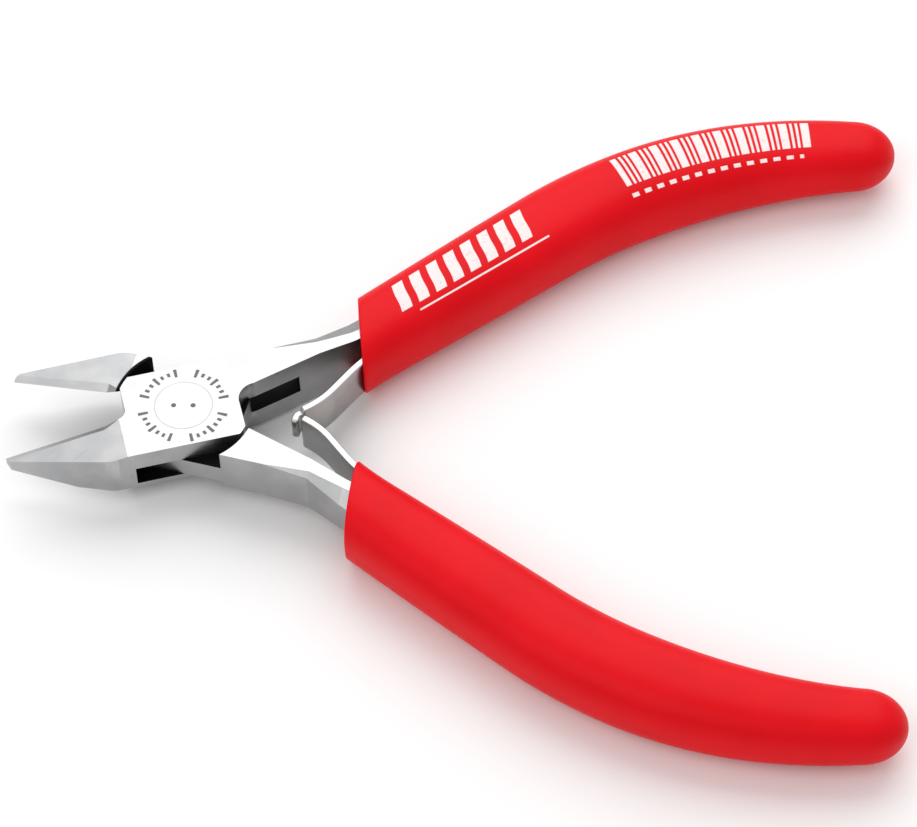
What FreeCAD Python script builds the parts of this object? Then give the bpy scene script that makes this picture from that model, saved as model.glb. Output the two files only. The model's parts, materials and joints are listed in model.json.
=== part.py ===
"""Box-joint flush cutter, 110 mm class, as a parametric FreeCAD document.

The two steel halves are drawn with the jaws closed: the tool's mid-plane is the XZ plane, the pivot
is the Z axis, the jaws point along -X and the handles along +X.  Each half is then turned about the
pivot by the opening angle.  The outer half (slotted, its handle on +Y) and the inner half (with the
thin tongue, its handle on -Y) share one set of sizes.  Lengths are millimetres, angles degrees.
"""
import FreeCAD, Part
import math
import os
import Sketcher

doc = FreeCAD.newDocument("flush_cutter")

# ---------------------------------------------------------------- driving dimensions
DIMENSIONS = [
    # the tool as a whole
    ("open_angle", 15.0, "turn of each half away from the mid-plane at rest"),
    ("thickness", 7.8, "thickness of the box joint, front face to back face"),
    ("edge_play", 0.03, "each cutting edge to the mid-plane, closed"),
    # box joint
    ("joint_width", 11.0, "width of the box joint"),
    ("plate_front", 6.5, "pivot to the throat wall of the two plates"),
    ("plate_back", 6.2, "pivot to the plates' edge towards the handles"),
    ("plate_round", 7.7, "radius about the pivot that rounds the plates' free corners"),
    ("slot_height", 2.7, "height of the slot between the plates"),
    ("slot_front", 6.7, "pivot to the slot's end in the jaw"),
    ("slot_back", 13.7, "pivot to the slot's end in the tang"),
    ("tongue_play", 0.05, "tongue to slot wall, each side"),
    ("shoulder_play", 0.15, "plate corner to jaw shoulder"),
    ("tang_shoulder_play", 0.45, "plate corner to tang shoulder"),
    # pivot rivet
    ("rivet_radius", 2.4, "radius of the pivot rivet's shank"),
    ("rivet_head_radius", 3.3, "radius of its flush heads"),
    ("rivet_head_depth", 0.9, "depth of the heads' cone"),
    ("rivet_play", 0.02, "rivet to plates"),
    ("pivot_play", 0.05, "rivet to tongue, running fit"),
    # jaws
    ("jaw_length", 20.6, "pivot to jaw tip"),
    ("jaw_corner", 9.3, "pivot to the jaw's widest corner"),
    ("jaw_bulge", 0.0, "how far that corner stands out past the box joint"),
    ("jaw_slope", 22.4, "slope of the jaw's outer edge"),
    ("jaw_corner_radius", 4.0, "radius of the jaw's widest corner"),
    ("tip_length", 0.35, "length of the tip's rounding"),
    ("throat_radius", 1.1, "fillet between the cutting edge and the throat wall"),
    ("front_taper", 11.0, "slope of the jaws' front faces"),
    ("front_taper_start", 7.4, "pivot to the start of the front taper"),
    ("back_taper", 15.5, "slope of the jaws' back faces"),
    ("back_taper_start", 8.2, "pivot to the start of the back taper"),
    ("bevel_width", 0.85, "width of the cutting bevel, across the tool"),
    ("bevel_root", 1.6, "length over which the bevel grows to its full width out of the throat"),
    ("bevel_depth", 0.55, "height of the cutting bevel"),
    ("relief_angle", 42.0, "angle of the relief below the cutting edge"),
    ("back_chamfer", 1.9, "chamfer along the outer edges of the back face"),
    # tang and arm
    ("tang_fillet", 2.1, "inner corner between the plates and the tang"),
    ("tang_inner", 1.1, "mid-plane to the tang's inner edge at that corner, closed"),
    ("tang_waist", 0.1, "how far the outer edge draws in at the tang's waist"),
    ("tang_waist_place", 11.0, "pivot to the tang's waist"),
    ("tang_width", 3.3, "width of the tang at the sleeve's mouth"),
    ("arm_x", 20.0, "a point on the arm's axis, closed"),
    ("arm_y", 5.45, "the same point, from the mid-plane"),
    ("arm_slope", 22.6, "slope of the arm's straight stretch"),
    ("arm_straight", 27.6, "that point to the start of the bend"),
    ("arm_bend", 60.0, "radius of the arm's bend"),
    ("arm_sweep", 30.0, "angle of the arm's bend"),
    ("arm_width", 5.8, "width of the arm in its sleeve"),
    ("arm_thickness", 6.6, "thickness of the arm in its sleeve"),
    ("tang_bevel_start", 11.5, "pivot to the start of the bevel on the tang's outer front edge"),
    ("tang_bevel_width", 2.2, "width of that bevel at the sleeve"),
    ("tang_bevel_depth", 1.0, "height of that bevel at the sleeve"),
    ("tang_neck", 3.2, "arm point back to the start of the tang's thinning"),
    ("thin_lead", 1.0, "end of the tang's thinning ahead of the sleeve's mouth"),
    ("tang_length", 4.4, "arm point on to the tang's end, where the arm widens"),
    ("arm_shoulder", 9.0, "arm point to where the arm has its full width"),
    # sleeves
    ("grip_sweep", 41.6, "angle of the bend at the sleeve's end"),
    ("grip_mouth_slope", 8.0, "lean of the sleeve's mouth from square across the closed tool"),
    ("grip_mouth", 21.6, "pivot to the middle of the mouth, closed"),
    ("grip_mouth_half", 4.5, "half width of the sleeve behind its mouth"),
    ("grip_middle_half", 5.3, "half width of the sleeve at its widest"),
    ("grip_end_half", 4.0, "half width of the sleeve before its rounded end"),
    ("grip_mouth_depth", 4.35, "half depth of the sleeve at its mouth"),
    ("grip_middle_depth", 4.5, "half depth of the sleeve at its middle"),
    ("grip_end_depth", 3.5, "half depth of the sleeve before its rounded end"),
    ("grip_flat", 1.2, "half height of the sleeve's flat sides"),
    ("grip_lip", 0.7, "how far the mouth flares towards the other handle"),
    ("grip_round", 5.0, "length of the rounded end"),
    ("grip_play", 0.04, "steel to sleeve"),
    # leaf springs
    ("leaf_thickness", 0.8, "thickness of the leaf springs"),
    ("leaf_width", 5.2, "width of the leaf springs"),
    ("leaf_hinge", 4.0, "arm point to where the leaf starts to bend"),
    ("leaf_foot", 12.0, "length of the leaf's foot on the arm"),
    ("foot_width", 4.0, "width of the leaf's foot inside the sleeve"),
    ("leaf_lead", 1.6, "straight start of the blade"),
    ("leaf_bend", 18.6, "radius of the first bend"),
    ("leaf_turn", 15.4, "angle of the first bend"),
    ("leaf_tip_bend", 10.5, "radius of the second bend"),
    ("leaf_tip_turn", 24.0, "angle of the second bend"),
    ("leaf_play", 0.22, "leaf tip to the mid-plane at rest"),
    ("leaf_gap", 0.08, "blade to foot, round the bending line"),
    ("lip_width", 4.1, "width of the hook lip"),
    ("lip_lead", 0.45, "leaf tip to the hook's bend"),
    ("lip_bend", 0.75, "radius of the hook"),
    ("lip_turn", 51.0, "angle of the hook"),
    ("lip_length", 0.7, "straight end of the hook"),
    ("stud_radius", 0.9, "radius of the leaf rivet's shank"),
    ("stud_head_radius", 1.5, "radius of the leaf rivet's head"),
    ("stud_head", 0.35, "height of the leaf rivet's head"),
    ("stud_length", 3.2, "length of its shank in the arm"),
    ("stud_place", 8.0, "bending line to the leaf rivet"),
    ("stud_play", 0.02, "leaf rivet to its holes"),
    ("channel_play", 0.1, "leaf spring to its channel in the sleeve"),
    ("channel_flare", 0.85, "extra room for the blade at the channel's mouth"),
]

sheet = doc.addObject("Spreadsheet::Sheet", "sizes")
for row, (alias, value, meaning) in enumerate(DIMENSIONS, start=1):
    sheet.set(f"A{row}", meaning)
    sheet.set(f"B{row}", str(value))
    sheet.setAlias(f"B{row}", alias)
doc.recompute()


class Size:
    """A dimension held twice: its number now, and the formula that the document keeps."""

    def __init__(self, number, formula=None):
        self.number = float(number)
        self.formula = formula if formula else repr(float(number))

    def __add__(self, other):
        other = as_size(other)
        return Size(self.number + other.number, f"({self.formula} + {other.formula})")

    def __sub__(self, other):
        other = as_size(other)
        return Size(self.number - other.number, f"({self.formula} - {other.formula})")

    def __mul__(self, other):
        other = as_size(other)
        return Size(self.number * other.number, f"({self.formula} * {other.formula})")

    def __truediv__(self, other):
        other = as_size(other)
        return Size(self.number / other.number, f"({self.formula} / {other.formula})")

    def __neg__(self):
        return self * -1

    __radd__ = __add__
    __rmul__ = __mul__

    def __rsub__(self, other):
        return as_size(other) - self


def as_size(value):
    return value if isinstance(value, Size) else Size(value)


def cell(alias):
    return Size(sheet.get(alias), f"sizes.{alias}")


def sine(angle):
    angle = as_size(angle)
    return Size(math.sin(math.radians(angle.number)), f"sin({angle.formula})")


def cosine(angle):
    angle = as_size(angle)
    return Size(math.cos(math.radians(angle.number)), f"cos({angle.formula})")


def tangent(angle):
    angle = as_size(angle)
    return Size(math.tan(math.radians(angle.number)), f"tan({angle.formula})")


def root(value):
    return Size(math.sqrt(value.number), f"sqrt({value.formula})")


# ---------------------------------------------------------------- drawing helpers
def new_body(label):
    body = doc.addObject("PartDesign::Body", label)
    body.Label = label
    return body


def origin_plane(body, role):
    return next(item for item in body.Origin.OriginFeatures if item.Role == role)


def new_sketch(body, name, role="XY_Plane", shift=None):
    """A sketch on one of the body's origin planes, moved along the plane's normal by shift."""
    sketch = body.newObject("Sketcher::SketchObject", name)
    sketch.AttachmentSupport = [(origin_plane(body, role), "")]
    sketch.MapMode = "FlatFace"
    if shift is not None:
        sketch.setExpression("AttachmentOffset.Base.z", shift.formula)
    return sketch


def arc_middle(start, end, radius, turn):
    """The point half way along the short arc from start to end; turn is +1 to the left, -1 right."""
    chord = end - start
    half = chord.Length / 2
    sagitta = radius - math.sqrt(max(radius * radius - half * half, 0.0))
    across = FreeCAD.Vector(chord.y, -chord.x, 0).normalize()
    return (start + end) / 2 + across * (sagitta * turn)


def draw(sketch, corners, side=1):
    """Draw a closed outline and tie every corner to its formulas.

    A corner is (x, y) or (x, y, radius, turn): then the edge that leaves it is an arc of that
    radius, to the left (+1) or right (-1).  side=-1 mirrors the outline across the X axis.
    """
    spots = [FreeCAD.Vector(corner[0].number, side * corner[1].number, 0) for corner in corners]
    count = len(corners)
    ends = []
    for index, corner in enumerate(corners):
        start = spots[index]
        end = spots[(index + 1) % count]
        if len(corner) == 2:
            edge = sketch.addGeometry(Part.LineSegment(start, end), False)
        else:
            leftward = corner[3] * side > 0
            middle = arc_middle(start, end, corner[2].number, corner[3] * side)
            first, last = (start, end) if leftward else (end, start)
            edge = sketch.addGeometry(Part.Arc(first, middle, last), False)
        curve = sketch.Geometry[edge]
        first = 1 if (curve.StartPoint - start).Length < (curve.EndPoint - start).Length else 2
        ends.append((edge, first, 3 - first))
    for index in range(count):
        edge, _, last = ends[index]
        following, first, _ = ends[(index + 1) % count]
        sketch.addConstraint(Sketcher.Constraint("Coincident", edge, last, following, first))
    for index, corner in enumerate(corners):
        edge, first, _ = ends[index]
        for kind, size in (("DistanceX", corner[0]), ("DistanceY", corner[1] * side)):
            rule = Sketcher.Constraint(kind, -1, 1, edge, first, size.number)
            number = sketch.addConstraint(rule)
            sketch.setExpression(f"Constraints[{number}]", size.formula)
        if len(corner) == 4:
            number = sketch.addConstraint(Sketcher.Constraint("Radius", edge, corner[2].number))
            sketch.setExpression(f"Constraints[{number}]", corner[2].formula)
    return sketch


def extrude(body, name, sketch, length, kind="PartDesign::Pad"):
    """A pad or pocket of the sketch, half of its length to each side of the sketch's plane."""
    feature = body.newObject(kind, name)
    feature.Profile = sketch
    feature.SideType = "Symmetric"
    feature.setExpression("Length", length.formula)
    return feature


def cut_between(body, name, sections):
    """Cut away the straight-sided space between two sections."""
    feature = body.newObject("PartDesign::SubtractiveLoft", name)
    feature.Profile = sections[0]
    feature.Sections = sections[1:]
    feature.Ruled = True
    return feature


def place_half(item, side):
    """Stand a half's mid-thickness at half the joint's height, and turn it to its open angle."""
    item.Placement = FreeCAD.Placement(
        FreeCAD.Vector(0, 0, cell("thickness").number / 2),
        FreeCAD.Rotation(FreeCAD.Vector(0, 0, 1), side * cell("open_angle").number))
    item.setExpression("Placement.Base.z", (cell("thickness") / 2).formula)
    item.setExpression("Placement.Rotation.Angle", (cell("open_angle") * side).formula)


def walk(x, y, heading, stretches):
    """The places and headings at the ends of a path's stretches.

    A stretch is (length,) for a straight run or (radius, angle) for an arc, angle > 0 to the left.
    """
    stations = [(x, y, heading)]
    for stretch in stretches:
        if len(stretch) == 1:
            x = x + stretch[0] * cosine(heading)
            y = y + stretch[0] * sine(heading)
        else:
            radius, angle = stretch
            turn = 1 if angle.number > 0 else -1
            ahead = heading + angle
            x = x + radius * turn * (sine(ahead) - sine(heading))
            y = y - radius * turn * (cosine(ahead) - cosine(heading))
            heading = ahead
        stations.append((x, y, heading))
    return stations


def beside(station, offset):
    """The point at a distance to the left of a station."""
    x, y, heading = station
    return (x - offset * sine(heading), y + offset * cosine(heading))


def ribbon(stations, stretches, half):
    """The corners of a strip of half width half along a path, for draw()."""
    corners = []
    for station, stretch in zip(stations, stretches):
        corner = beside(station, half)
        if len(stretch) == 2:
            turn = 1 if stretch[1].number > 0 else -1
            corner += (stretch[0] - half * turn, turn)
        corners.append(corner)
    corners.append(beside(stations[-1], half))
    for station, stretch in zip(stations[:0:-1], stretches[::-1]):
        corner = beside(station, -half)
        if len(stretch) == 2:
            turn = 1 if stretch[1].number > 0 else -1
            corner += (stretch[0] + half * turn, -turn)
        corners.append(corner)
    corners.append(beside(stations[0], -half))
    return corners


# ---------------------------------------------------------------- shared geometry
half_thickness = cell("thickness") / 2
half_joint = cell("joint_width") / 2
half_slot = cell("slot_height") / 2
arm_start = (cell("arm_x"), cell("arm_y"), cell("arm_slope"))
jaw_shoulder = cell("plate_round") + cell("shoulder_play")
tang_shoulder = cell("plate_round") + cell("tang_shoulder_play")
wide = cell("joint_width") * 3


def along_arm(distance, offset):
    """A point on the arm's straight stretch: distance from the arm point, offset outwards."""
    station = walk(*arm_start, [(as_size(distance),)])[1]
    return beside(station, as_size(offset))


def on_circle_x(radius, x):
    """How far from the X axis the circle about the pivot is at x."""
    return root(radius * radius - x * x)


# ---------------------------------------------------------------- the two steel halves
def jaw_corners():
    """The jaw's outer edge, from the joint's lower edge to the tip, then the cutting edge."""
    slope = cell("jaw_slope")
    corner_y = half_joint + cell("jaw_bulge")
    reach = cell("jaw_corner_radius") * tangent(slope / 2)
    far = cell("jaw_length") - cell("tip_length")
    far_y = corner_y - (far - cell("jaw_corner")) * tangent(slope)
    edge = -cell("edge_play")
    return [
        (-(cell("jaw_corner") - reach), -corner_y, cell("jaw_corner_radius"), -1),
        (-(cell("jaw_corner") + reach * cosine(slope)), -(corner_y - reach * sine(slope))),
        (-far, -far_y),
        (-cell("jaw_length"), -(far_y - cell("tip_length") * 1.6)),
        (-cell("jaw_length"), edge),
    ]


def tang_corners():
    """The tang, from the plates' upper edge round its sleeve end to the inner edge."""
    tang = cell("tang_width") / 2
    waist = half_joint - cell("tang_waist")
    return [
        (as_size(1.0), half_joint),
        (cell("tang_waist_place"), waist),
        along_arm(-cell("tang_neck"), tang),
        along_arm(cell("tang_length"), tang),
        along_arm(cell("tang_length"), -tang),
        (cell("plate_back") + cell("tang_fillet"), cell("tang_inner"), cell("tang_fillet"), 1),
        (cell("plate_back"), cell("tang_inner") - cell("tang_fillet")),
    ]


def outer_outline():
    """The outer half: jaw, the two plates' rounded rectangle, and tang."""
    plate = cell("plate_round")
    front = cell("plate_front")
    back = cell("plate_back")
    fillet = cell("throat_radius")
    edge = -cell("edge_play")
    return jaw_corners() + [
        (-(front + fillet), edge, fillet, 1),
        (-front, edge + fillet),
        (-front, on_circle_x(plate, front), plate, -1),
        (-on_circle_x(plate, half_joint), half_joint),
    ] + tang_corners() + [
        (back, -on_circle_x(plate, back), plate, -1),
        (on_circle_x(plate, half_joint), -half_joint),
    ]


def inner_outline():
    """The inner half's full-thickness parts and its tongue, drawn with its jaw below like the outer."""
    front = cell("slot_front") - 0.1
    back = cell("plate_back")
    edge = -cell("edge_play")
    neck = as_size(-0.5)
    neck_x = on_circle_x(jaw_shoulder, neck)
    return jaw_corners() + [
        (-jaw_shoulder, edge),
        (-neck_x, neck),
        (-on_circle_x(front, neck), neck, front, -1),
        (-on_circle_x(front, half_joint), half_joint),
    ] + tang_corners() + [
        (back, -on_circle_x(cell("plate_round"), back), cell("plate_round"), -1),
        (on_circle_x(cell("plate_round"), half_joint), -half_joint),
    ]


def arm_outline(start, grow):
    """The arm from a place on the tang to its end, with grow added all round."""
    tang = cell("tang_width") / 2 + grow
    arm = cell("arm_width") / 2 + grow
    shoulder = cell("arm_shoulder")
    stretches = [(cell("arm_straight") - shoulder,), (cell("arm_bend"), -cell("arm_sweep"))]
    if grow:
        stretches.append((as_size(grow),))
    stations = walk(*along_arm(shoulder, 0), cell("arm_slope"), stretches)
    return ribbon(stations, stretches, arm) + [
        along_arm(cell("tang_length"), -tang),
        along_arm(start, -tang),
        along_arm(start, tang),
        along_arm(cell("tang_length"), tang),
    ]


def thin_tongue(body):
    """Cut the inner half down to its tongue, front and back, inside the two shoulders' circles."""
    tongue = half_slot - cell("tongue_play")
    nothing = as_size(0)
    corners = [
        (nothing, jaw_shoulder, jaw_shoulder, 1),
        (-jaw_shoulder, nothing, jaw_shoulder, 1),
        (nothing, -jaw_shoulder),
        (nothing, -tang_shoulder, tang_shoulder, 1),
        (tang_shoulder, nothing, tang_shoulder, 1),
        (nothing, tang_shoulder),
    ]
    for name, face in (("front", 1), ("back", -1)):
        sketch = draw(new_sketch(body, f"tongue_{name}_profile", "XY_Plane", tongue * face), corners)
        pocket = body.newObject("PartDesign::Pocket", f"tongue_{name}")
        pocket.Profile = sketch
        pocket.Reversed = face > 0
        pocket.setExpression("Length", cell("thickness").formula)


def cut_taper(body, name, start, slope, face):
    """Slope a jaw's front (face=+1) or back (face=-1) from start towards the tip."""
    far = cell("jaw_length") + 1
    drop = (far - start) * tangent(slope)
    outside = half_thickness + 1
    sketch = draw(new_sketch(body, f"{name}_profile", "XZ_Plane"), [
        (-start, half_thickness * face),
        (-far, (half_thickness - drop) * face),
        (-far, outside * face),
        (-start, outside * face),
    ])
    extrude(body, name, sketch, wide, "PartDesign::Pocket")


def cut_edge(body, side):
    """Grind the bevel in front of the cutting edge and the relief behind it."""
    sections = []
    beyond = as_size(3.0)
    overshoot = 1.5
    faint = 0.15
    worn = 0.8
    throat = cell("plate_front") + cell("throat_radius")
    for name, x, share in (("throat", throat, faint), ("root", throat + cell("bevel_root"), 1),
                           ("tip", cell("jaw_length") + 0.5, worn)):
        front = half_thickness - (x - cell("front_taper_start")) * tangent(cell("front_taper"))
        edge = front - cell("bevel_depth") * share
        bottom = -half_thickness - 0.5
        top = edge + cell("bevel_depth") * share * overshoot
        sections.append(draw(new_sketch(body, f"edge_at_{name}", "YZ_Plane", -x), [
            (-cell("edge_play") * side, edge),
            (-(cell("edge_play") + cell("bevel_width") * share * overshoot) * side, top),
            (beyond * side, top),
            (beyond * side, bottom),
            (-(cell("edge_play") + (edge - bottom) * tangent(cell("relief_angle"))) * side, bottom),
        ]))
    return cut_between(body, "edge", sections)


def side_edges(shape, corners, side, face, chosen):
    """The names of the front (face=+1) or back (-1) edges that the chosen corners start."""
    spots = [FreeCAD.Vector(corner[0].number, side * corner[1].number, 0) for corner in corners]
    names = []
    for index in chosen:
        start = spots[index]
        end = spots[(index + 1) % len(spots)]
        middle = (start + end) / 2
        if len(corners[index]) == 4:
            middle = arc_middle(start, end, corners[index][2].number, corners[index][3] * side)
        for number, edge in enumerate(shape.Edges, start=1):
            halfway = edge.valueAt((edge.FirstParameter + edge.LastParameter) / 2)
            height = halfway.z
            halfway.z = 0
            if height * face > 0.1 and (halfway - middle).Length < 0.02:
                names.append(f"Edge{number}")
    return names


def chamfer(body, name, base, edges, size):
    feature = body.newObject("PartDesign::Chamfer", name)
    feature.Base = (base, edges)
    feature.setExpression("Size", size.formula)
    doc.recompute()
    return feature


def tang_ends():
    """Where the tang's thinning starts and ends, on its outer edge."""
    half = cell("tang_width") / 2
    return along_arm(-cell("tang_neck"), half), along_arm(cell("tang_length"), half)


def thin_tang(body, name, face):
    """Thin the tang evenly to the arm's thickness, on its front (face=+1) or back (-1)."""
    (start, _), _ = tang_ends()
    end = cell("grip_mouth") - cell("thin_lead")
    far = end + 10
    arm = cell("arm_thickness") / 2
    outside = half_thickness + 1
    sketch = draw(new_sketch(body, f"{name}_profile", "XZ_Plane"), [
        (start, half_thickness * face),
        (end, arm * face),
        (far, arm * face),
        (far, outside * face),
        (start, outside * face),
    ])
    return extrude(body, name, sketch, wide, "PartDesign::Pocket")


def bevel_tang(body, side):
    """Bevel the tang's outer front edge, from nothing past the joint to its full size at the end."""
    (neck, neck_y), (end, end_y) = tang_ends()
    start = cell("tang_bevel_start")
    waist = half_joint - cell("tang_waist")
    slope = (neck_y - waist) / (neck - cell("tang_waist_place"))
    thinned = cell("grip_mouth") - cell("thin_lead")
    arm = cell("arm_thickness") / 2
    overshoot = 0.5
    faint = 0.03
    rising = 0.35
    strong = 0.8
    sections = []
    for name, x, y, z, share in (
            ("start", start, waist + (start - cell("tang_waist_place")) * slope, half_thickness, faint),
            ("neck", neck, neck_y, half_thickness, rising),
            ("thinned", thinned, neck_y + (thinned - neck) * tangent(cell("arm_slope")), arm, strong),
            ("end", end, end_y, arm, 1)):
        width = cell("tang_bevel_width") * share
        depth = cell("tang_bevel_depth") * share
        beyond_y = y + width * overshoot
        beyond_z = z + depth * overshoot
        sections.append(draw(new_sketch(body, f"bevel_at_{name}", "YZ_Plane", x), [
            ((y - width * (1 + overshoot)) * side, beyond_z),
            (beyond_y * side, z - depth * (1 + overshoot)),
            (beyond_y * side, beyond_z),
        ]))
    return cut_between(body, "tang_bevel", sections)


def make_half(label, side, corners):
    """A forged and ground half: the blank, its tang, chamfers, tapers, cutting edge and arm."""
    body = new_body(label)
    blank_sketch = draw(new_sketch(body, "blank_profile"), corners, side)
    blank = extrude(body, "blank", blank_sketch, cell("thickness"))
    doc.recompute()
    # in both outlines the jaw has five corners and the joint's far edge starts four corners on
    outer_edges = [len(corners) - 1, 0, 1, *range(8, 12)]
    chamfer(body, "back_chamfer", blank, side_edges(blank.Shape, corners, side, -1, outer_edges),
            cell("back_chamfer"))
    thin_tang(body, "tang_front", 1)
    thin_tang(body, "tang_back", -1)
    bevel_tang(body, side)
    cut_taper(body, "front_taper", cell("front_taper_start"), cell("front_taper"), 1)
    cut_taper(body, "back_taper", cell("back_taper_start"), cell("back_taper"), -1)
    cut_edge(body, side)
    arm_sketch = new_sketch(body, "arm_profile")
    draw(arm_sketch, arm_outline(cell("tang_length") - 0.2, 0), side)
    extrude(body, "arm", arm_sketch, cell("arm_thickness"))
    doc.recompute()
    return body


def rivet_profile(sketch, play):
    """Half of the pivot rivet's section, grown by play: a shank and two countersunk heads."""
    shank = cell("rivet_radius") + play
    head = cell("rivet_head_radius") + play
    cone = half_thickness - cell("rivet_head_depth")
    nothing = as_size(0)
    return draw(sketch, [
        (nothing, -half_thickness),
        (head, -half_thickness),
        (shank, -cone),
        (shank, cone),
        (head, half_thickness),
        (nothing, half_thickness),
    ])


def turn(body, name, sketch, kind):
    """A revolution or groove of a section about the pivot."""
    feature = body.newObject(kind, name)
    feature.Profile = sketch
    feature.ReferenceAxis = (sketch, ["V_Axis"])
    feature.Angle = 360
    return feature


def drill(body, name, radius):
    """A round hole through the half, about the pivot."""
    sketch = new_sketch(body, f"{name}_profile")
    circle = sketch.addGeometry(Part.Circle(FreeCAD.Vector(0, 0, 0), FreeCAD.Vector(0, 0, 1),
                                            radius.number), False)
    sketch.addConstraint(Sketcher.Constraint("Coincident", circle, 3, -1, 1))
    number = sketch.addConstraint(Sketcher.Constraint("Radius", circle, radius.number))
    sketch.setExpression(f"Constraints[{number}]", radius.formula)
    return extrude(body, name, sketch, cell("thickness") * 2, "PartDesign::Pocket")


def stud_cylinder(item, side, radius, start, length):
    """Set a cylinder across the arm at the leaf rivet's place, from start for length inwards."""
    x, y = along_arm(cell("leaf_hinge") + cell("stud_place"), start)
    yaw = (cell("arm_slope") + 90) * side + 90
    item.setExpression("Radius", radius.formula)
    item.setExpression("Height", length.formula)
    item.setExpression("Placement", f"placement(vector({x.formula}; {(y * side).formula}; 0); "
                                    f"rotation({yaw.formula}; 0; 90))")
    return item


arm_face = -cell("arm_width") / 2
leaf_inner = arm_face - cell("grip_play") - cell("leaf_thickness")
leaf_line = leaf_inner + cell("leaf_thickness") / 2


def stud_hole(body, side):
    """The leaf rivet's hole through the leaf's foot and into the arm."""
    hole = body.newObject("PartDesign::SubtractiveCylinder", "stud_hole")
    depth = cell("stud_length") + cell("leaf_thickness") + 2 * cell("stud_play")
    stud_cylinder(hole, side, cell("stud_radius") + cell("stud_play"),
                  leaf_inner - cell("stud_play"), depth)


def make_outer_half():
    body = make_half("outer_half", 1, outer_outline())
    slot = draw(new_sketch(body, "slot_profile"), [
        (-cell("slot_front"), -wide / 2),
        (cell("slot_back"), -wide / 2),
        (cell("slot_back"), wide / 2),
        (-cell("slot_front"), wide / 2),
    ])
    extrude(body, "slot", slot, cell("slot_height"), "PartDesign::Pocket")
    profile = rivet_profile(new_sketch(body, "rivet_seat_profile", "XZ_Plane"), cell("rivet_play"))
    turn(body, "rivet_seat", profile, "PartDesign::Groove")
    stud_hole(body, 1)
    place_half(body, 1)
    return body


def make_inner_half():
    body = make_half("inner_half", -1, inner_outline())
    thin_tongue(body)
    drill(body, "pivot_bore", cell("rivet_radius") + cell("pivot_play"))
    stud_hole(body, -1)
    place_half(body, -1)
    return body


def make_pivot_rivet():
    body = new_body("pivot_rivet")
    profile = rivet_profile(new_sketch(body, "rivet_profile", "XZ_Plane"), as_size(0))
    turn(body, "rivet", profile, "PartDesign::Revolution")
    place_half(body, 1)
    return body


# ---------------------------------------------------------------- leaf springs
leaf_start = (*along_arm(cell("leaf_hinge"), leaf_line), cell("arm_slope") + 180)


def blade_path(reach):
    """The blade's stretches, from the line where it starts to bend to its tip."""
    return [
        (cell("leaf_lead"),),
        (cell("leaf_bend"), cell("leaf_turn")),
        (reach,),
        (cell("leaf_tip_bend"), -cell("leaf_tip_turn")),
    ]


def height_over_middle(point):
    """How far a point of the closed outline stands off the mid-plane once the half is open."""
    return point[0] * sine(cell("open_angle")) + point[1] * cosine(cell("open_angle"))


def blade_reach():
    """The straight middle stretch's length that brings the blade's tip to the mid-plane."""
    tip = walk(*leaf_start, blade_path(as_size(0)))[-1]
    height = height_over_middle(beside(tip, cell("leaf_thickness") / 2))
    heading = cell("arm_slope") + 180 + cell("leaf_turn") + cell("open_angle")
    return (cell("leaf_play") - height) / sine(heading)


def make_blade(label, side, hooked):
    body = new_body(label)
    half = cell("leaf_thickness") / 2
    stretches = blade_path(blade_reach())
    stations = walk(*leaf_start, stretches)
    strip = draw(new_sketch(body, "strip_profile"), ribbon(stations, stretches, half), side)
    extrude(body, "strip", strip, cell("leaf_width"))
    root_sketch = new_sketch(body, "root_profile")
    centre = FreeCAD.Vector(leaf_start[0].number, side * leaf_start[1].number, 0)
    circle = root_sketch.addGeometry(Part.Circle(centre, FreeCAD.Vector(0, 0, 1), half.number), False)
    for kind, size in (("DistanceX", leaf_start[0]), ("DistanceY", leaf_start[1] * side)):
        number = root_sketch.addConstraint(Sketcher.Constraint(kind, -1, 1, circle, 3, size.number))
        root_sketch.setExpression(f"Constraints[{number}]", size.formula)
    number = root_sketch.addConstraint(Sketcher.Constraint("Radius", circle, half.number))
    root_sketch.setExpression(f"Constraints[{number}]", half.formula)
    extrude(body, "root", root_sketch, cell("leaf_width"))
    if hooked:
        hook = [
            (cell("lip_lead"),),
            (cell("lip_bend"), cell("lip_turn")),
            (cell("lip_length"),),
        ]
        hook_sketch = new_sketch(body, "hook_profile")
        draw(hook_sketch, ribbon(walk(*stations[-1], hook), hook, half), side)
        extrude(body, "hook", hook_sketch, cell("lip_width"))
    place_half(body, side)
    return body


def make_foot(label, side):
    """The leaf's flat narrow foot, from just behind the bending line to its end on the arm."""
    body = new_body(label)
    gap = cell("leaf_thickness") / 2 + cell("leaf_gap")
    stretches = [(cell("leaf_foot"),)]
    stations = walk(*along_arm(cell("leaf_hinge") + gap, leaf_line), cell("arm_slope"), stretches)
    half = cell("leaf_thickness") / 2
    strip = draw(new_sketch(body, "strip_profile"), ribbon(stations, stretches, half), side)
    extrude(body, "strip", strip, cell("foot_width"))
    stud_hole(body, side)
    place_half(body, side)
    return body


def make_stud(label, side):
    """The leaf rivet: a shank in the arm and a flat round head over the leaf's foot."""
    body = new_body(label)
    seat = leaf_inner - cell("stud_play")
    head = body.newObject("PartDesign::AdditiveCylinder", "head")
    stud_cylinder(head, side, cell("stud_head_radius"), seat - cell("stud_head"), cell("stud_head"))
    shank = body.newObject("PartDesign::AdditiveCylinder", "shank")
    stud_cylinder(shank, side, cell("stud_radius"), seat, cell("stud_length") + cell("leaf_thickness"))
    place_half(body, side)
    return body


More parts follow.
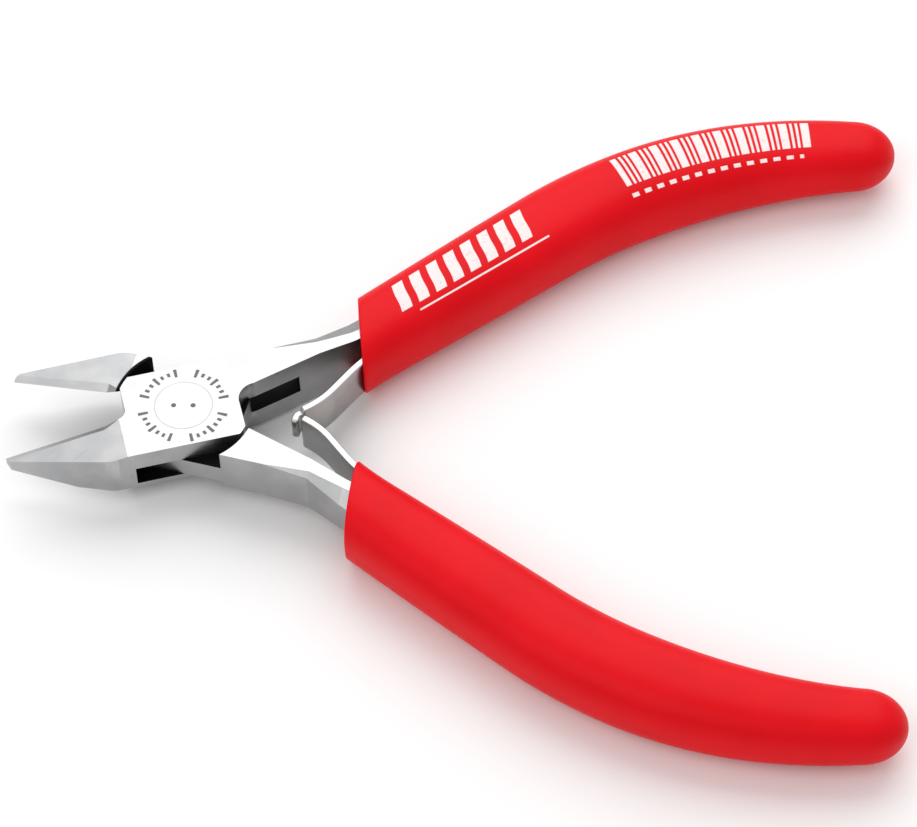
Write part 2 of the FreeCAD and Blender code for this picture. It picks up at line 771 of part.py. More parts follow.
# ---------------------------------------------------------------- sleeves
def grip_stations():
    """Where the sleeve's sections stand, with their half widths, half depths and sideways shifts.

    The half width swells as a sine over the first part of the sleeve's length and then falls as a
    cosine to its end; the mouth's lip fades out over the first stretch.
    """
    straight = cell("arm_straight")
    bend = cell("arm_bend")
    sweep = cell("grip_sweep") - cell("grip_round") / bend * (180 / math.pi)
    length = straight.number + bend.number * math.radians(sweep.number)
    swelling = 0.6
    runs = [(-3.5 / straight.number, 0)] + [(part / 7, 0) for part in range(8)]
    runs += [(1, part / 12) for part in range(1, 13)]
    for run, turned in runs:
        stretches = [(straight * run,)]
        if turned:
            stretches.append((bend, -(sweep * turned)))
        place = straight.number * run + bend.number * math.radians(sweep.number) * turned
        part = max(place / length, 0)
        rise = math.sin(math.pi / 2 * min(part / swelling, 1))
        fall = 1 - math.cos(math.pi / 2 * max(part - swelling, 0) / (1 - swelling))
        flare = max(1 - (place + 3.5) / 8, 0) ** 2
        half = (cell("grip_mouth_half") * (1 - rise) + cell("grip_middle_half") * (rise - fall)
                + cell("grip_end_half") * fall)
        depth = (cell("grip_mouth_depth") * (1 - rise) + cell("grip_middle_depth") * (rise - fall)
                 + cell("grip_end_depth") * fall)
        shift = cell("grip_lip") / 2 * flare
        yield walk(*arm_start, stretches)[-1], half + shift, depth, shift


def section_placement(station, side, shift):
    x, y = beside(station, -shift)
    yaw = station[2] * side + 90
    return f"placement(vector({x.formula}; {(y * side).formula}; 0); rotation({yaw.formula}; 0; 90))"


def grip_section(name, station, half, depth, side, shift, shrink=1):
    """One rounded section of a sleeve, square to the arm's axis, with short flats on all sides."""
    flat = cell("grip_flat") * shrink
    corner = depth - flat
    section = draw(doc.addObject("Sketcher::SketchObject", name), [
        (half, -flat),
        (half, flat, corner, 1),
        (half - corner, depth),
        (corner - half, depth, corner, 1),
        (-half, flat),
        (-half, -flat, corner, 1),
        (corner - half, -depth),
        (half - corner, -depth, corner, 1),
    ])
    section.setExpression("Placement", section_placement(station, side, shift))
    return section


def make_sleeve(label, side):
    """A push-on plastic sleeve: an oval body with a slanted, flared mouth and a rounded end."""
    nothing = as_size(0)
    sections = []
    for number, (station, half, depth, shift) in enumerate(grip_stations()):
        sections.append(grip_section(f"{label}_section_{number}", station, half, depth, side, shift))
    barrel = doc.addObject("Part::Loft", f"{label}_barrel")
    barrel.Sections = sections
    barrel.Solid = True
    barrel.Ruled = True
    rounds = []
    for number, part in enumerate((0, 0.4, 0.7, 0.88, 0.97, 1.0)):
        tip = walk(*station, [(cell("grip_round") * part,)])[1]
        shrink = max(math.sqrt(1 - part * part), 0.1)
        rounds.append(grip_section(f"{label}_round_{number}", tip, half * shrink, depth * shrink, side,
                                   nothing, shrink))
    cap = doc.addObject("Part::Loft", f"{label}_cap")
    cap.Sections = rounds
    cap.Solid = True
    cap.Ruled = True
    body = doc.addObject("Part::Fuse", f"{label}_body")
    body.Base = barrel
    body.Tool = cap
    return trim_sleeve(label, side, body)


def trim_sleeve(label, side, body):
    """Cut the sleeve's slanted mouth and its cavity for the arm, the leaf's foot and its rivet."""
    block = 40.0
    lean = -cell("grip_mouth_slope") * side
    mouth_y = cell("arm_y") + (cell("grip_mouth") - cell("arm_x")) * tangent(cell("arm_slope"))
    knife = doc.addObject("Part::Box", f"{label}_mouth")
    knife.Length = block
    knife.Width = block
    knife.Height = block
    x = cell("grip_mouth") - block * cosine(lean) + block / 2 * sine(lean)
    y = mouth_y * side - block * sine(lean) - block / 2 * cosine(lean)
    knife.setExpression("Placement", f"placement(vector({x.formula}; {y.formula}; {-block / 2}); "
                                     f"rotation({lean.formula}; 0; 0))")
    play = cell("grip_play")
    arm = cavity(f"{label}_arm_cavity", arm_outline(-5, play), side,
                 cell("arm_thickness") + 2 * play)
    wall = leaf_inner - cell("channel_play")
    narrow = cell("leaf_hinge") + 1
    far = cell("leaf_hinge") + cell("leaf_foot") + 1
    blade = cavity(f"{label}_blade_channel", [
        along_arm(-5, wall - cell("channel_flare")),
        along_arm(cell("leaf_hinge") - cell("leaf_lead"), wall),
        along_arm(narrow, wall),
        along_arm(narrow, 0),
        along_arm(-5, 0),
    ], side, cell("leaf_width") + 2 * cell("channel_play"))
    foot = cavity(f"{label}_foot_channel", [
        along_arm(0, wall),
        along_arm(far, wall),
        along_arm(far, 0),
        along_arm(0, 0),
    ], side, cell("foot_width") + 2 * cell("channel_play"))
    dimple = doc.addObject("Part::Cylinder", f"{label}_rivet_dimple")
    stud_cylinder(dimple, side, cell("stud_head_radius") + cell("channel_play"),
                  wall - cell("stud_play") - cell("stud_head"), cell("stud_head") * 3)
    tools = doc.addObject("Part::MultiFuse", f"{label}_tools")
    tools.Shapes = [knife, arm, blade, foot, dimple]
    sleeve = doc.addObject("Part::Cut", label)
    sleeve.Label = label
    sleeve.Base = body
    sleeve.Tool = tools
    place_half(sleeve, side)
    return sleeve


def cavity(name, corners, side, height):
    sketch = doc.addObject("Sketcher::SketchObject", f"{name}_profile")
    draw(sketch, corners, side)
    block = doc.addObject("Part::Extrusion", name)
    block.Base = sketch
    block.DirMode = "Custom"
    block.Dir = FreeCAD.Vector(0, 0, 1)
    block.Solid = True
    block.setExpression("LengthFwd", (height / 2).formula)
    block.setExpression("LengthRev", (height / 2).formula)
    return block


# ---------------------------------------------------------------- build, check and write
parts = [
    make_outer_half(),
    make_inner_half(),
    make_pivot_rivet(),
    make_sleeve("outer_sleeve", 1),
    make_sleeve("inner_sleeve", -1),
    make_foot("outer_leaf_foot", 1),
    make_foot("inner_leaf_foot", -1),
    make_blade("outer_leaf_blade", 1, True),
    make_blade("inner_leaf_blade", -1, False),
    make_stud("outer_leaf_rivet", 1),
    make_stud("inner_leaf_rivet", -1),
]
doc.recompute()

for item in doc.Objects:
    if "Invalid" in item.State or "Error" in item.State:
        raise RuntimeError(f"{item.Label} failed to compute: {item.State}")
for part in parts:
    shape = part.Shape
    if shape.isNull() or not shape.isValid() or len(shape.Solids) != 1:
        raise RuntimeError(f"{part.Label} is not one valid solid")

os.makedirs("parts", exist_ok=True)
for part in parts:
    part.Shape.exportStep(f"parts/{part.Label}.step")
    box = part.Shape.BoundBox
    print(f"{part.Label:18s} {part.Shape.Volume:9.2f} mm3  "
          f"x {box.XMin:7.2f} {box.XMax:7.2f}  y {box.YMin:7.2f} {box.YMax:7.2f}  "
          f"z {box.ZMin:6.2f} {box.ZMax:6.2f}")
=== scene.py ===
"""A small box-joint flush cutter: two steel halves on a rivet, two leaf springs and two vinyl sleeves."""
import json
import math

import bpy
import numpy as np
from mathutils import Matrix, Vector


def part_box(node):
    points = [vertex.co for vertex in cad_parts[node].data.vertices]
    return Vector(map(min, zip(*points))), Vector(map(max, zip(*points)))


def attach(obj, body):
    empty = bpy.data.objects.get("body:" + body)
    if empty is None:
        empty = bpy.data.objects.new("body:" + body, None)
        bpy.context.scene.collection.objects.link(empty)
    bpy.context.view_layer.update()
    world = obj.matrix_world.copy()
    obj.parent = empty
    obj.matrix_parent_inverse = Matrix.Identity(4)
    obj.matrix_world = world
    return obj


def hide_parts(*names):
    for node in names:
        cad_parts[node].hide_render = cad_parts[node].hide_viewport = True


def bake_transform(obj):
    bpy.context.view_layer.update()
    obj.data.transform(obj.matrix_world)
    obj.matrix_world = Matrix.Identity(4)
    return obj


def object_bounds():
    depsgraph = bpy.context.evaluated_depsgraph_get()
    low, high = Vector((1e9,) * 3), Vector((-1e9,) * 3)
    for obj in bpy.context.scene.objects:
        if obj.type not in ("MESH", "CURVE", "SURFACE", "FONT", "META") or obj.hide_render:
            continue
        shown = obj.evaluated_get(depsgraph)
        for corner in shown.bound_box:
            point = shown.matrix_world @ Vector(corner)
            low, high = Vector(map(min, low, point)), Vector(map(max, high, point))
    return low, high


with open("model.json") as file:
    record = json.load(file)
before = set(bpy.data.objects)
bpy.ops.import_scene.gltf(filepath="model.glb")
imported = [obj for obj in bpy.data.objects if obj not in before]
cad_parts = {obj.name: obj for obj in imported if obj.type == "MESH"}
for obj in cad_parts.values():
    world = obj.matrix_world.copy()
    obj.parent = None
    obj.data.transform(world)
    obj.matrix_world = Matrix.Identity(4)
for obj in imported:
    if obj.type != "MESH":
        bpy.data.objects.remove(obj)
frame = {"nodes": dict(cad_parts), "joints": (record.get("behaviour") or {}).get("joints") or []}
cad_box = [list(corner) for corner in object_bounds()]
nodes = frame["nodes"]
joints = {joint["name"]: joint for joint in frame["joints"]}


# ---------------------------------------------------------------- steel halves and pivot rivet
# The halves are forged in tool steel, ground on their flat faces and tempered. One half is slotted and
# the other's tongue sits in it; a countersunk rivet through both is ground flush with the faces. Black
# shade is painted in the slot and round the tongue, where the parts shade each other.
class Value:
    """A number that varies over a surface: each operator on it adds a Math node to its finish."""

    def __init__(self, finish, socket):
        self.finish = finish
        self.socket = socket

    def math(self, operation, *others):
        inputs = dict(enumerate((self, *others)))
        node = self.finish.add("ShaderNodeMath", {"operation": operation}, inputs)
        return Value(self.finish, node.outputs[0])

    def __add__(self, other):
        return self.math("ADD", other)

    def __sub__(self, other):
        return self.math("SUBTRACT", other)

    def __rsub__(self, other):
        return self * -1 + other

    def __mul__(self, other):
        return self.math("MULTIPLY", other)

    def __truediv__(self, other):
        return self.math("DIVIDE", other)

    __radd__ = __add__
    __rmul__ = __mul__

    def step(self, low, high):
        """0 below low, 1 above high and a smooth climb between; low above high makes it a fall."""
        node = self.finish.add("ShaderNodeMapRange", {"interpolation_type": "SMOOTHSTEP"},
                               {"Value": self, "From Min": low, "From Max": high})
        return Value(self.finish, node.outputs["Result"])

    def within(self, low, high, edge):
        """1 between low and high, 0 outside, with soft edges."""
        return self.step(low - edge, low + edge) * self.step(high + edge, high - edge)


class Finish:
    """A material in the making: its node tree, its shader and the constants on the shader's sockets."""

    def __init__(self, name, **constants):
        self.material = bpy.data.materials.new(name)
        self.material.use_nodes = True
        self.tree = self.material.node_tree
        self.shader = self.tree.nodes["Principled BSDF"]
        for socket, value in constants.items():
            self.shader.inputs[socket.replace("_", " ")].default_value = value

    def add(self, kind, settings, inputs):
        """A node with its settings, then the values or links of its sockets."""
        node = self.tree.nodes.new(kind)
        for name, value in settings.items():
            setattr(node, name, value)
        for name, value in inputs.items():
            if isinstance(value, Value):
                self.tree.links.new(value.socket, node.inputs[name])
            elif isinstance(value, bpy.types.NodeSocket):
                self.tree.links.new(value, node.inputs[name])
            else:
                node.inputs[name].default_value = value
        return node

    def place(self, source="Object"):
        return self.add("ShaderNodeTexCoord", {}, {}).outputs[source]

    def parts(self, vector):
        """The x, y and z of a vector."""
        node = self.add("ShaderNodeSeparateXYZ", {}, {"Vector": vector})
        return [Value(self, node.outputs[axis]) for axis in "XYZ"]

    def grain(self, vector, scale, stretch=(1, 1, 1), turn=0.0, detail=4.0):
        """Noise from 0 to 1 with scale lumps to the metre, stretched along the axes after a turn about Z."""
        mapped = self.add("ShaderNodeMapping", {"vector_type": "TEXTURE"},
                          {"Vector": vector, "Rotation": (0, 0, turn), "Scale": stretch})
        noise = self.add("ShaderNodeTexNoise", {},
                         {"Vector": mapped.outputs[0], "Scale": scale, "Detail": detail})
        return Value(self, noise.outputs["Fac"])

    def mix(self, share, first, second):
        """The first colour where share is 0 and the second where it is 1."""
        node = self.add("ShaderNodeMix", {"data_type": "RGBA"}, {0: share, 6: first, 7: second})
        return node.outputs[2]

    def wear(self, colour, roughness, height, depth):
        """Join what varies to the shader; height is a bump of the given depth in metres."""
        self.tree.links.new(colour, self.shader.inputs["Base Color"])
        self.tree.links.new(roughness.socket, self.shader.inputs["Roughness"])
        bump = self.add("ShaderNodeBump", {}, {"Height": height, "Distance": depth, "Strength": 1.0})
        self.tree.links.new(bump.outputs[0], self.shader.inputs["Normal"])
        return self.material


pivot = Vector(joints["jaw_pivot"]["pos_m"])
face_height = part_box("pivot_rivet")[1][2]
open_angle = math.radians(15)
steel_dull, steel_bright = (0.39, 0.395, 0.405, 1), (0.47, 0.47, 0.47, 1)
# Painted shade: the black painted into the slot and round the tongue, where the parts shade each other; the
# etched ticks use it too.
shade_and_etching_black = (0.012, 0.012, 0.013, 1)


def ground_steel(name, side, shade_and_ticks):
    """Ground tool steel: fine lines lengthways, cloudy stains, and black where the given mask says: painted
    shade in the recesses, and etched ticks on the slotted half.
    """
    finish = Finish(name, Metallic=1.0, IOR=2.5)
    here = finish.place()
    lines = finish.grain(here, 1500, (9, 0.35, 0.35), open_angle * side, 3)
    clouds = finish.grain(here, 260, detail=5)
    astray = 0.5
    scratches = finish.grain(here, 900, (14, 0.3, 1), open_angle * side + astray, 2).step(0.66, 0.74)
    # Painted shade in the slot and round the tongue, plus the etched ticks, as a mask from 0 to 1.
    dark = shade_and_ticks(finish, *finish.parts(here))
    bright = finish.mix(clouds.step(0.3, 0.7), steel_dull, steel_bright)
    bright = finish.mix(scratches * 0.35, bright, (0.3, 0.3, 0.31, 1))
    colour = finish.mix(dark, bright, shade_and_etching_black)
    roughness = 0.2 + lines * 0.12 + clouds * 0.1 + dark * 0.3
    return finish.wear(colour, roughness, lines * 0.7 + scratches * 0.3, 6e-6)


def ring_of_ticks(finish, x, y):
    """Etched ticks on a circle round the pivot: every third one long, with four breaks between groups."""
    ticks = 36
    breaks = 4
    inner, outer = 0.00405, 0.0052
    shortened = 0.0003
    soft = 0.00003
    radius = (x * x + y * y).math("SQRT")
    turn = y.math("ARCTAN2", x) / (2 * math.pi) + 0.5
    comb = (turn * ticks).math("FRACT").within(0.27, 0.73, 0.04)
    third = (turn * (ticks / 3)).math("FRACT").within(0.3, 0.7, 0.01)
    group = (turn * breaks).math("FRACT").within(0.1, 0.9, 0.005)
    length = radius.within(inner, outer, soft)
    short = radius.within(inner + shortened, outer - shortened, soft)
    return comb * group * (short * (1 - third) + length * third)


def slot_shade_and_ticks(finish, x, y, z):
    """Painted shade: black in the slotted half's slot, whose height and ends follow the tongue; etched ticks
    on its face.
    """
    slot = 0.00136
    front, back = -0.00672, 0.01372
    soft = 0.00001
    etching = 0.72
    lengthways = x * math.cos(open_angle) + y * math.sin(open_angle)
    inside = (z - pivot.z).within(-slot, slot, soft) * lengthways.within(front, back, soft)
    etched = ring_of_ticks(finish, x, y) * z.step(face_height - 0.0002, face_height - 0.0001)
    return inside + etched * etching


def tongue_painted_shade(finish, x, y, z):
    """Painted shade: black on the tongue's two faces and on the round shoulders that the plates turn in."""
    tongue = 0.00128
    shoulder = 0.0082
    radius = (x * x + y * y).math("SQRT")
    away = (z - pivot.z).math("ABSOLUTE")
    return radius.step(shoulder, shoulder - 0.0001) * away.step(tongue, tongue + 0.00001)


def round_edges(node, width):
    """Break the sharp edges of a solid: weld its triangles, then bevel every edge sharper than 24 degrees."""
    weld = node.modifiers.new("weld", "WELD")
    weld.merge_threshold = 1e-6
    bevel = node.modifiers.new("broken_edges", "BEVEL")
    bevel.width = width
    bevel.segments = 2
    bevel.limit_method = "ANGLE"
    bevel.angle_limit = math.radians(24)
    bevel.harden_normals = True


def paint(node, material):
    """Give a CAD node one material all over."""
    for holder in nodes[node].material_slots:
        holder.material = material


paint("outer_half", ground_steel("slotted_half_steel", 1, slot_shade_and_ticks))
paint("inner_half", ground_steel("tongue_half_steel", -1, tongue_painted_shade))
for half in ("outer_half", "inner_half"):
    round_edges(nodes[half], width=0.00012)


def ringed_steel(name):
    """A rivet's end: turned rings about the pivot under the grinding, two punched dots and a faint seam."""
    finish = Finish(name, Metallic=1.0, IOR=2.5)
    here = finish.place()
    x, y, z = finish.parts(here)
    radius = (x * x + y * y).math("SQRT")
    ring_rate = 9000
    dot_place = 0.0011
    rings = (radius * ring_rate).math("SINE") * 0.5 + 0.5
    clouds = finish.grain(here, 300)
    apart = x.math("ABSOLUTE") - dot_place
    dots = (apart * apart + y * y).math("SQRT").step(0.00034, 0.00026)
    seam = radius.within(0.00318, 0.0034, 0.00004)
    dark = dots * 0.75 + seam * 0.2
    bright = finish.mix(clouds.step(0.3, 0.7), steel_dull, steel_bright)
    colour = finish.mix(dark, bright, (0.02, 0.02, 0.02, 1))
    roughness = 0.24 + clouds * 0.12 + dark * 0.3
    return finish.wear(colour, roughness, rings * 0.3 + clouds - dark, 4e-6)


paint("pivot_rivet", ringed_steel("pivot_rivet_steel"))


# ---------------------------------------------------------------- leaf springs
# Each leaf is one strip of hardened spring steel, riveted to the arm inside the sleeve, bowed towards
# the middle. The slotted half's leaf ends in a narrow rolled lip that the other leaf's end rests behind.
# CAD holds each leaf as a foot and a blade; the whole strip stands for both and bends between them.
arm_root = (0.020, 0.00545)
arm_slope = math.radians(22.6)
arm_straight = 0.0276
arm_bend = 0.060
leaf_half = 0.0004
leaf_line = -0.00334


def on_arm(distance, offset):
    """A point of the closed outline: distance along the arm's axis and offset to its left."""
    return (arm_root[0] + distance * math.cos(arm_slope) - offset * math.sin(arm_slope),
            arm_root[1] + distance * math.sin(arm_slope) + offset * math.cos(arm_slope))


def opened(x, y, z, side):
    """Points of the closed outline turned to the open pose, and mirrored in the middle for side -1."""
    cosine, sine = math.cos(open_angle), math.sin(open_angle)
    return np.stack([x * cosine - y * sine, side * (x * sine + y * cosine), z + pivot.z], axis=-1)


def trace(start, heading, stretches, spacing):
    """x, y, heading and distance along straight runs (length,) and arcs (radius, angle), left positive.

    On a run the place moves along the heading; on an arc it keeps the radius from a centre beside it.
    """
    x, y, heading = [np.array([value], float) for value in (*start, heading)]
    distance = np.zeros(1)
    for stretch in stretches:
        length = stretch[0] if len(stretch) == 1 else abs(stretch[0] * stretch[1])
        run = np.linspace(0, length, max(int(length / spacing), 3) + 1)[1:]
        if len(stretch) == 1:
            ahead = np.full(len(run), heading[-1])
            along = x[-1] + run * np.cos(ahead), y[-1] + run * np.sin(ahead)
        else:
            radius = stretch[0] * np.sign(stretch[1])
            ahead = heading[-1] + run / radius
            along = (x[-1] + radius * (np.sin(ahead) - math.sin(heading[-1])),
                     y[-1] - radius * (np.cos(ahead) - math.cos(heading[-1])))
        x, y, heading = [np.append(*pair) for pair in ((x, along[0]), (y, along[1]), (heading, ahead))]
        distance = np.append(distance, distance[-1] + run)
    return x, y, heading, distance


def rounded_section(half, depth, corner):
    """Rings of a rounded rectangle: four quarter circles of the corner's radius, joined by flats."""
    steps = 6
    angle = (np.arange(4)[:, None] * math.pi / 2 + np.linspace(0, math.pi / 2, steps)).ravel()
    across = np.repeat([1, -1, -1, 1], steps)
    upward = np.repeat([1, 1, -1, -1], steps)
    half, depth, corner = [np.asarray(value, float)[..., None] for value in (half, depth, corner)]
    return (across * (half - corner) + corner * np.cos(angle),
            upward * (depth - corner) + corner * np.sin(angle))


def skin(name, rings, places):
    """A closed skin: quads between neighbouring rings and a fan to the middle of each end ring.

    places holds each ring point's two pattern coordinates, with the first column repeated at the end.
    """
    rows, columns = rings.shape[:2]
    row, column = np.indices((rows - 1, columns))
    corner = row * (columns + 1) + column
    quads = np.stack([corner, corner + 1, corner + columns + 2, corner + columns + 1],
                     axis=-1).reshape(-1, 4)
    first = np.arange(columns)
    last = first + (rows - 1) * (columns + 1)
    poles = rows * (columns + 1)
    fans = np.concatenate([np.stack([first + 1, first, np.full(columns, poles)], axis=-1),
                           np.stack([last, last + 1, np.full(columns, poles + 1)], axis=-1)])
    grid = np.concatenate([rings, rings[:, :1]], axis=1).reshape(-1, 3)
    grid = np.concatenate([grid, rings[[0, -1]].mean(axis=1)])
    triangles = grid[np.concatenate([quads[:, :3], quads[:, [0, 2, 3]], fans])]
    volume = np.einsum("ij,ij->i", triangles[:, 0], np.cross(triangles[:, 1], triangles[:, 2])).sum()
    faces = quads.tolist() + fans.tolist()
    if volume < 0:
        faces = [face[::-1] for face in faces]
    shared = np.arange(poles).reshape(rows, columns + 1)
    shared -= shared // (columns + 1)
    shared[:, -1] -= columns
    shared = np.append(shared.ravel(), [rows * columns, rows * columns + 1])
    mesh = bpy.data.meshes.new(name)
    points = np.concatenate([rings.reshape(-1, 3), rings[[0, -1]].mean(axis=1)])
    mesh.from_pydata(points.tolist(), [], [[int(shared[index]) for index in face] for face in faces])
    mesh.polygons.foreach_set("use_smooth", np.ones(len(faces), bool))
    ends = np.stack([places[0].mean(axis=0), places[-1].mean(axis=0)])
    table = np.concatenate([places.reshape(-1, 2), ends])
    layer = mesh.uv_layers.new(name="pattern")
    layer.data.foreach_set("uv", table[np.concatenate(faces)].astype(np.float32).ravel())
    mesh.update()
    piece = bpy.data.objects.new(name, mesh)
    bpy.context.scene.collection.objects.link(piece)
    return piece


def leaf_strip(name, side, hooked):
    """A strip of rounded section carried along the foot, the bow and the tip's counter bend.

    The straight stretch of the bow is as long as brings the tip to its clearance from the middle.
    """
    foot = 0.01248
    lead = 0.0016
    bow, bow_turn = 0.0186, math.radians(15.4)
    tip, tip_turn = 0.0105, math.radians(-24)
    clearance = 0.00022
    foot_depth, blade_depth, lip_depth, lip_rise = 0.002, 0.0026, 0.00145, 0.0006
    narrowing = 0.0015, 0.0005
    lip_step = 0.00012
    hook = [(0.00045,), (0.00075, math.radians(51)), (0.0007,)]
    end_round = 0.0001
    corner_round = 0.00014
    start = on_arm(0.004 + foot, leaf_line)
    heading = arm_slope + math.pi

    def stretches(reach):
        return [(foot + lead,), (bow, bow_turn), (reach,), (tip, tip_turn)]

    x, y, ahead, _ = trace(start, heading, stretches(0.0), 0.0003)
    edge_x, edge_y = x[-1] - leaf_half * math.sin(ahead[-1]), y[-1] + leaf_half * math.cos(ahead[-1])
    height = edge_x * math.sin(open_angle) + edge_y * math.cos(open_angle)
    reach = (clearance - height) / math.sin(heading + bow_turn + open_angle)
    route = stretches(reach)
    strip = foot + lead + bow * bow_turn + reach + tip * -tip_turn
    if hooked:
        route += hook
    x, y, ahead, distance = trace(start, heading, route, 0.00018)
    end = distance[-1]
    depth = np.interp(distance, [0, foot - narrowing[0], foot - narrowing[1], strip, strip + lip_step],
                      [foot_depth, foot_depth, blade_depth, blade_depth,
                       lip_depth if hooked else blade_depth])
    break_edge = np.minimum(np.minimum(distance, end - distance), end_round)
    shrink = end_round - np.sqrt(np.maximum(end_round ** 2 - (end_round - break_edge) ** 2, 0))
    half = np.full(len(distance), leaf_half) - shrink
    across, upward = rounded_section(half, depth - shrink, np.full(len(distance), corner_round))
    upward = upward + np.interp(distance, [strip, strip + lip_step], [0, lip_rise if hooked else 0])[:, None]
    rings = opened(x[:, None] - across * np.sin(ahead)[:, None],
                   y[:, None] + across * np.cos(ahead)[:, None], upward, side)
    places = np.stack([np.broadcast_to(distance[:, None], across.shape), upward], axis=-1)
    return skin(name, rings, np.concatenate([places, places[:, :1]], axis=1))


def spring_steel(name):
    """Bright rolled strip: rolling lines along it, a faint straw tint and a painted highlight, lighter grey
    along both edges.
    """
    finish = Finish(name, Metallic=1.0, IOR=2.5)
    place = finish.place("UV")
    rolled = finish.grain(place, 1500, (14, 0.5, 1), 0, 3)
    clouds = finish.grain(finish.place(), 330, detail=4)
    _, across, _ = finish.parts(place)
    # Painted highlight: the strip is lightened along both edges, where its edge faces catch the light.
    edge = across.math("ABSOLUTE").step(0.00238, 0.00252)
    colour = finish.mix(clouds.step(0.3, 0.7), (0.36, 0.365, 0.37, 1), (0.44, 0.435, 0.42, 1))
    colour = finish.mix(edge, colour, (0.5, 0.5, 0.5, 1))
    return finish.wear(colour, 0.2 + rolled * 0.14 + clouds * 0.08, rolled, 5e-6)


spring_finish = spring_steel("rolled_spring_steel")
for label, side in (("outer", 1), ("inner", -1)):
    leaf = leaf_strip(f"{label}_leaf_strip", side, hooked=label == "outer")
    leaf.data.materials.append(spring_finish)
    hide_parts(f"{label}_leaf_foot", f"{label}_leaf_blade")
    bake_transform(leaf)
    paint(f"{label}_leaf_rivet", spring_finish)


# ---------------------------------------------------------------- sleeves
# A sleeve is a thick-walled moulding of red vinyl pushed over the arm and over the leaf's foot. It is an
# oval tube that swells towards the palm and closes in a rounded end; its mouth is cut aslant, with a low
# lip on the spring's side. White marks are pad-printed on the slotted half's sleeve.
sleeve_length = 0.06616
sleeve_round = 0.005
sleeve_oval = 2.6
mouth_place = 0.0216
mouth_lean = math.radians(-8)


def sleeve_size(distance):
    """Half width, half depth and sideways shift of the oval at a distance along the arm.

    The width climbs as a quarter sine up to the widest place and falls as a quarter cosine after it;
    the lip adds the square of the share that is left of its length at the mouth.
    """
    mouth, middle, end = (0.0045, 0.00435), (0.00527, 0.00448), (0.004, 0.0035)
    widest = 0.6
    lip_size, lip_start, lip_length = 0.00035, -0.0035, 0.008
    part = np.clip(distance / sleeve_length, 0, 1)
    rise = np.sin(math.pi / 2 * np.minimum(part / widest, 1))
    fall = 1 - np.cos(math.pi / 2 * np.maximum(part - widest, 0) / (1 - widest))
    half, depth = [mouth[i] * (1 - rise) + middle[i] * (rise - fall) + end[i] * fall for i in (0, 1)]
    lip = lip_size * np.maximum(1 - (distance - lip_start) / lip_length, 0) ** 2
    return half + lip, depth, lip


def arm_axis(distance):
    """The arm's centre line in the closed outline: a straight run, then an arc back to the middle."""
    straight = np.minimum(distance, arm_straight)
    heading = arm_slope - np.maximum(distance - arm_straight, 0) / arm_bend
    x = arm_root[0] + straight * math.cos(arm_slope) + arm_bend * (math.sin(arm_slope) - np.sin(heading))
    y = arm_root[1] + straight * math.sin(arm_slope) + arm_bend * (np.cos(heading) - math.cos(arm_slope))
    return x, y, heading


def oval(angle, half, depth, power):
    """A superellipse: |across / half| ** power + |up / depth| ** power = 1."""
    across, upward = np.cos(angle), np.sin(angle)
    return (half * np.sign(across) * np.abs(across) ** (2 / power),
            depth * np.sign(upward) * np.abs(upward) ** (2 / power))


def mouth_distance(offset):
    """How far along the arm the slanted mouth lies for points at an offset from the axis."""
    normal = np.array([math.cos(mouth_lean), math.sin(mouth_lean)])
    middle = np.array([mouth_place, arm_root[1] + (mouth_place - arm_root[0]) * math.tan(arm_slope)])
    forward = normal @ [math.cos(arm_slope), math.sin(arm_slope)]
    sideways = normal @ [-math.sin(arm_slope), math.cos(arm_slope)]
    return (normal @ (middle - arm_root) - offset * sideways) / forward


def sleeve_skin(name, side):
    """Rows run from the rounded end along the outside to the mouth, over its rim and into the opening.

    The end closes as a quarter ellipse, the rim turns in as a quarter circle, and the opening is a
    superellipse shifted towards the spring that runs 6 mm deep.
    """
    columns = 96
    near_mouth = -0.001
    wall_half, wall_depth, wall_shift, wall_power = 0.00292, 0.00335, 0.001, 3.6
    angle = np.linspace(0, 2 * math.pi, columns, endpoint=False)[None, :]
    rim = 0.00025
    offset, _ = oval(angle, *sleeve_size(near_mouth * np.ones_like(angle))[:2], sleeve_oval)
    mouth = mouth_distance(offset) + rim
    closing = np.linspace(math.pi / 2, 0, 15)[1:, None]
    cap = sleeve_length + sleeve_round * np.sin(closing) + 0 * angle
    walk = np.linspace(0, 1, 121)[1:, None]
    body = sleeve_length + (mouth - sleeve_length) * walk
    turn = np.linspace(0, math.pi / 2, 6)[1:, None]
    distance = np.concatenate([cap, body, mouth - rim * np.sin(turn)])
    shrink = np.concatenate([np.cos(closing), np.ones_like(walk), np.ones_like(turn)])
    inset = np.concatenate([0 * closing, 0 * walk, rim * (1 - np.cos(turn))])
    half, depth, shift = sleeve_size(distance)
    across, upward = oval(angle, half * shrink - inset, depth * shrink - inset, sleeve_oval)
    across = across - shift
    inward = np.array([0.0, 0.0001, 0.0002, 0.001, 0.003, 0.006])[:, None]
    flare = np.array([0.0001, 0.00003, 0.0, 0.0, 0.0, 0.0])[:, None]
    wall_across, wall_up = oval(angle, wall_half + flare, wall_depth + flare, wall_power)
    wall_across = wall_across - wall_shift
    distance = np.concatenate([distance, mouth_distance(wall_across) + inward])
    across = np.concatenate([across, wall_across])
    upward = np.concatenate([upward, wall_up])
    x, y, heading = arm_axis(distance)
    rings = opened(x - across * np.sin(heading), y + across * np.cos(heading), upward, side)
    around = np.broadcast_to(np.linspace(0, 1, columns + 1), (len(rings), columns + 1))
    along = np.concatenate([distance, distance[:, :1]], axis=1)
    return skin(name, rings, np.stack([along, around], axis=-1))


